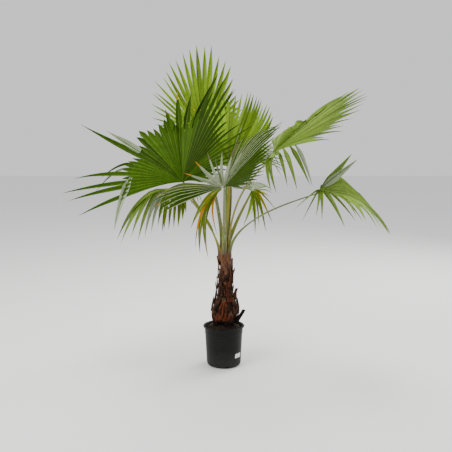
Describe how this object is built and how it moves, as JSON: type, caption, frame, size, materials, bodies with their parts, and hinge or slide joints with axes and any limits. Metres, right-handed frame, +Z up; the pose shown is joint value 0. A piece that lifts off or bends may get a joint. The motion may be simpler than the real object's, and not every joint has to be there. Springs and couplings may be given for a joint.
{
  "type": "potted mexican fan palm",
  "caption": "Young fan palm with pleated, split fan fronds on slender stalks above a bulbous stem with old leaf bases, in a round black nursery pot.",
  "frame": {"origin": "centre of the pot's flat underside", "axes": "+Z up along the pot's axis, +X to the viewer's right, +Y away from the viewer"},
  "size_m": [1.9908, 1.7213, 1.9922],
  "materials": {
    "pot": "satin black plastic",
    "soil": "moist dark potting mix with bark chips",
    "label": "blank white tag",
    "stem": "brown fibrous stem",
    "leaf_base": "dry reddish brown leaf bases",
    "stalk": "smooth green stalk with yellow edges",
    "blade_deep": "deep green pleated blade",
    "blade_mid": "mid green pleated blade",
    "blade_bright": "bright yellow-green pleated blade",
    "blade_silver": "silvery grey-green pleated blade"
  },
  "bodies": {
    "root": {"pot": "pot", "soil": "soil", "pot_label": "label", "stem": "stem", "spear_leaf": "blade_mid", "stalk_left": "stalk", "fan_left": "blade_deep", "stalk_top": "stalk", "fan_top": "blade_bright", "stalk_centre": "stalk", "fan_centre": "blade_bright", "stalk_front": "stalk", "fan_front": "blade_silver", "stalk_right": "stalk", "fan_right": "blade_mid", "stalk_far_right": "stalk", "fan_far_right": "blade_mid", "stalk_low_right": "stalk", "fan_low_right": "blade_bright", "stalk_low_left": "stalk", "fan_low_left": "blade_bright", "stalk_back": "stalk", "fan_back": "blade_mid", "leaf_base_1": "leaf_base", "leaf_base_2": "leaf_base", "leaf_base_3": "leaf_base", "leaf_base_4": "leaf_base", "leaf_base_5": "leaf_base", "leaf_base_6": "leaf_base", "leaf_base_7": "leaf_base", "leaf_base_8": "leaf_base", "leaf_base_9": "leaf_base", "leaf_base_10": "leaf_base", "leaf_base_11": "leaf_base", "leaf_base_12": "leaf_base", "leaf_base_13": "leaf_base", "leaf_base_14": "leaf_base", "leaf_base_15": "leaf_base", "leaf_base_16": "leaf_base", "leaf_base_17": "leaf_base", "leaf_base_18": "leaf_base", "leaf_base_19": "leaf_base"}
  },
  "joints": []
}
